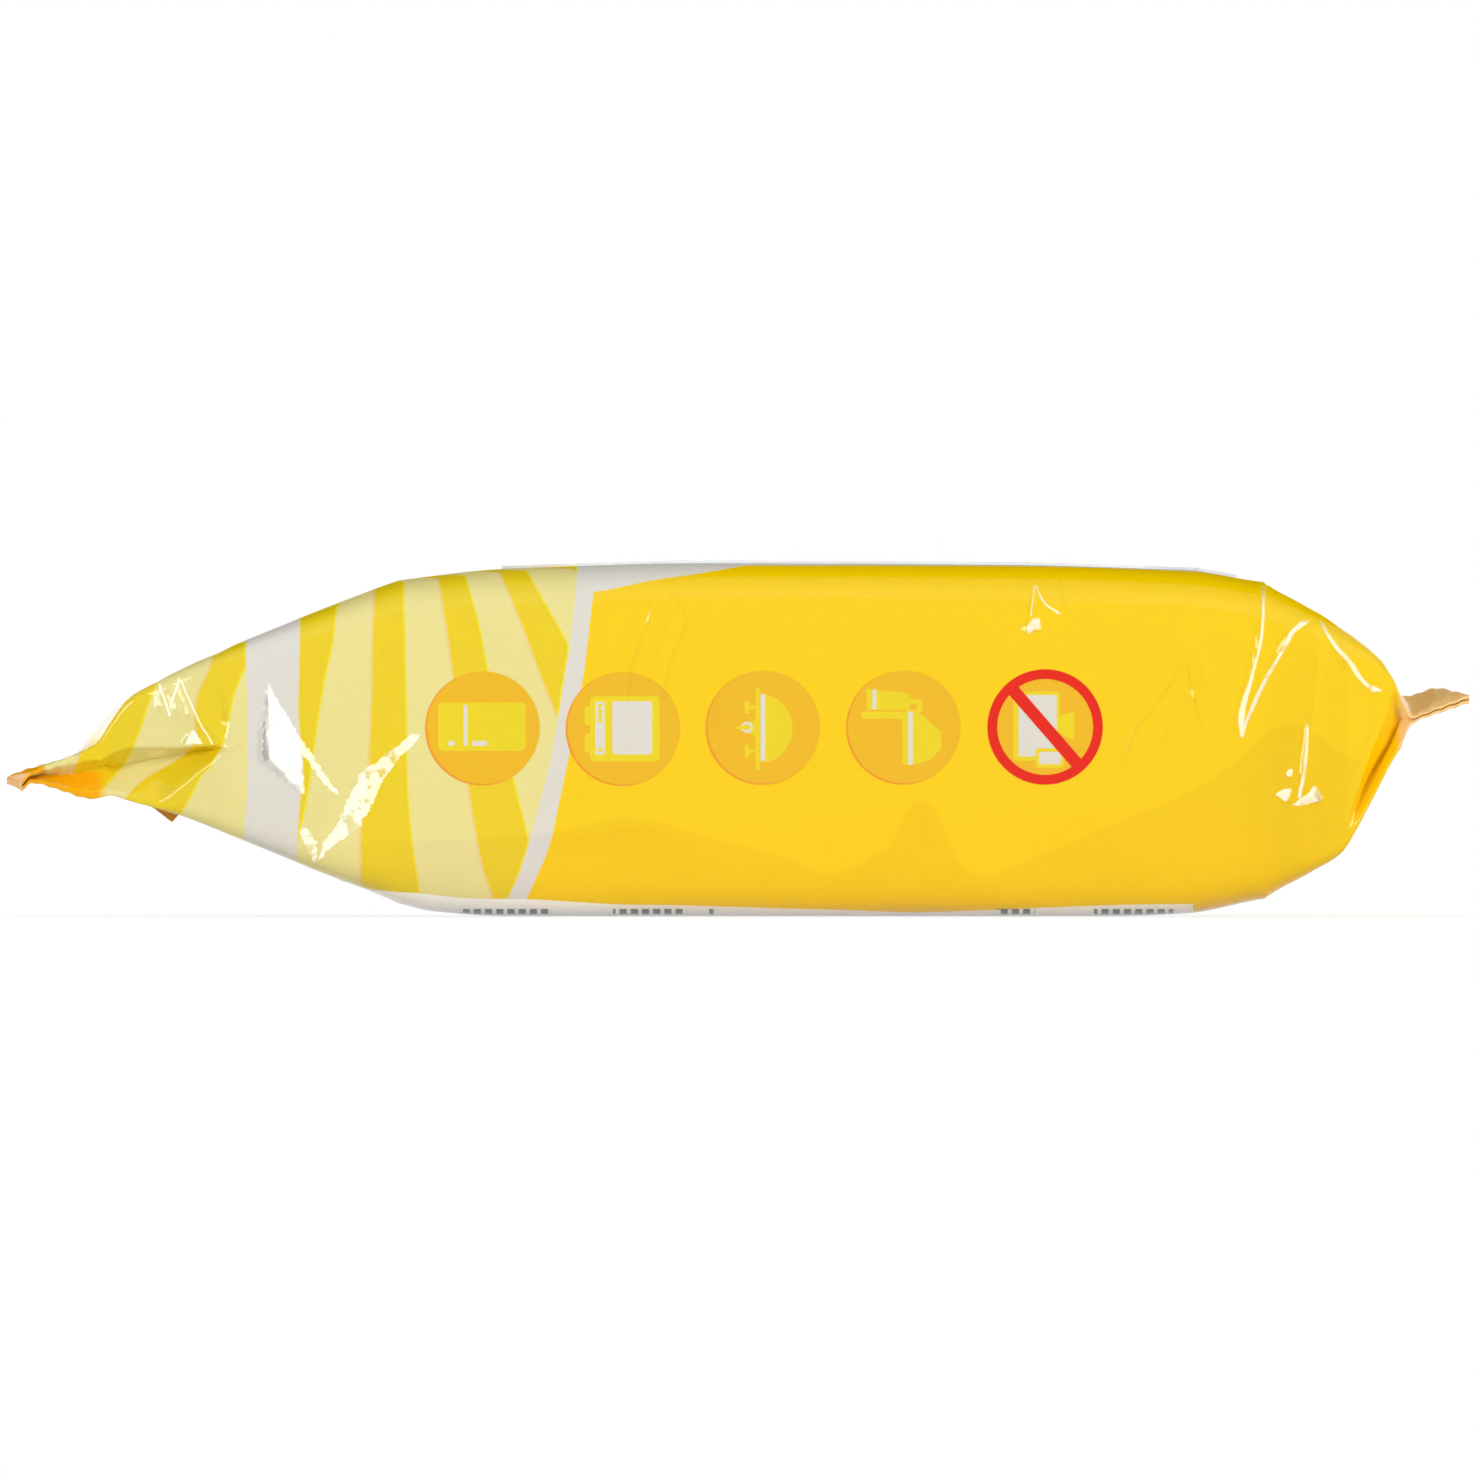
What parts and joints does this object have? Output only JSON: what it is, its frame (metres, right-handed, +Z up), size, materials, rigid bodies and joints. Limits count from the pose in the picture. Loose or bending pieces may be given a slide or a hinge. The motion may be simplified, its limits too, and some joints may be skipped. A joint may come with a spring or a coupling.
{
  "type": "wet wipes pack",
  "caption": "Soft filled film pack for moist wipes, with crimped end seals, tucked-in side gussets, a long tapered end and a reseal label on its top.",
  "frame": {"origin": "middle of the pack's box, on the surface that its underside lies on", "axes": "+X along the pack from the long tapered end to the short one, +Z up through the reseal label, -Y out of the long side with the row of round signs"},
  "size_m": [0.248, 0.129, 0.0608],
  "materials": {
    "printed_film": "glossy thin film printed in yellow fields, pale stripes and a white curve, with orange end seals",
    "label_film": "smooth pale adhesive label, a little glossy"
  },
  "bodies": {
    "root": {"film_pack": "printed_film", "reseal_label": "label_film"}
  },
  "joints": []
}
